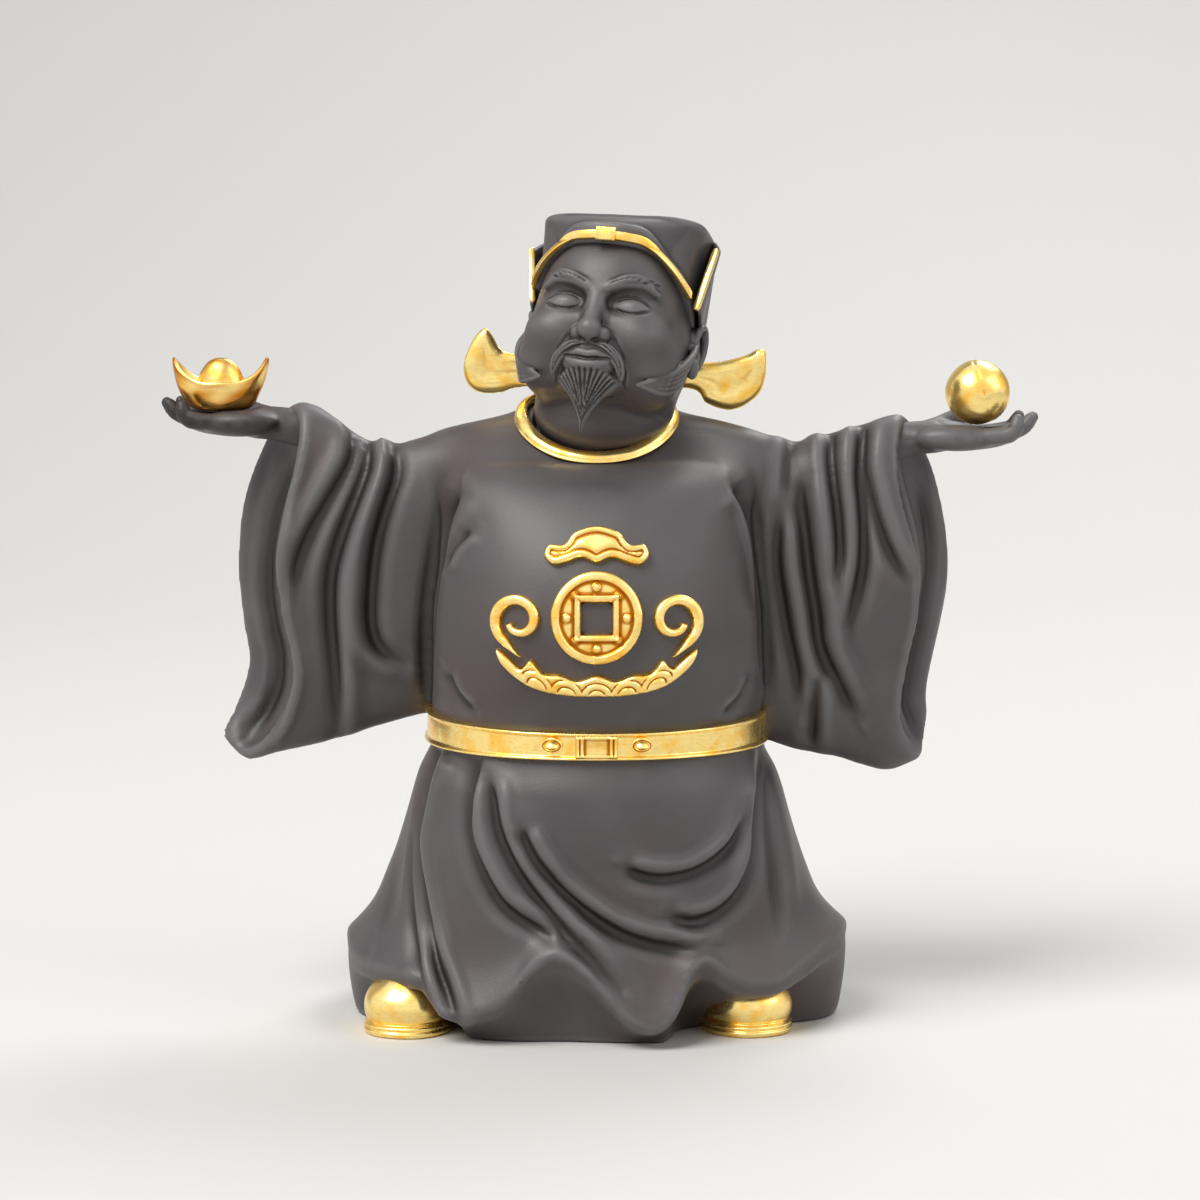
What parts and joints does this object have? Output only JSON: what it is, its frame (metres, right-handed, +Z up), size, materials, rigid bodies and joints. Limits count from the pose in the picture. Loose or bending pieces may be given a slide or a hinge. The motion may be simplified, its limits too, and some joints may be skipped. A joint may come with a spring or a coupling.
{
  "type": "tea pet figure",
  "caption": "Standing wide-sleeved figure of a god of wealth in dark fired clay with gilt trim, arms held out with an ingot and a ball on its palms, for a tea tray.",
  "frame": {"origin": "middle of the figure's outline, on the plane that its foot rim stands on", "axes": "+X towards the figure's left hand, along the outstretched arms; -Y the way the figure faces; +Z up"},
  "size_m": [0.1646, 0.0741, 0.15],
  "materials": {
    "dark_clay": "matte",
    "gold_paint": "satin"
  },
  "bodies": {
    "root": {"robe_body": "dark_clay", "belt_band": "gold_paint", "head": "dark_clay", "hat_cap": "dark_clay", "collar_ring": "gold_paint", "hat_band": "gold_paint", "hat_plate": "gold_paint", "hat_flap": "dark_clay", "hat_trim_right": "gold_paint", "hat_trim_left": "gold_paint", "wing_right": "gold_paint", "wing_left": "gold_paint", "belt_buckle": "gold_paint", "belt_stud_right": "gold_paint", "belt_stud_left": "gold_paint", "coin": "gold_paint", "ruyi_head": "gold_paint", "cloud_right": "gold_paint", "cloud_left": "gold_paint", "wave_base": "gold_paint", "shoe_right": "gold_paint", "shoe_left": "gold_paint", "gold_ingot": "gold_paint", "treasure_ball": "gold_paint", "hand_right": "dark_clay", "hand_left": "dark_clay", "sleeve_right": "dark_clay", "sleeve_left": "dark_clay"}
  },
  "joints": []
}
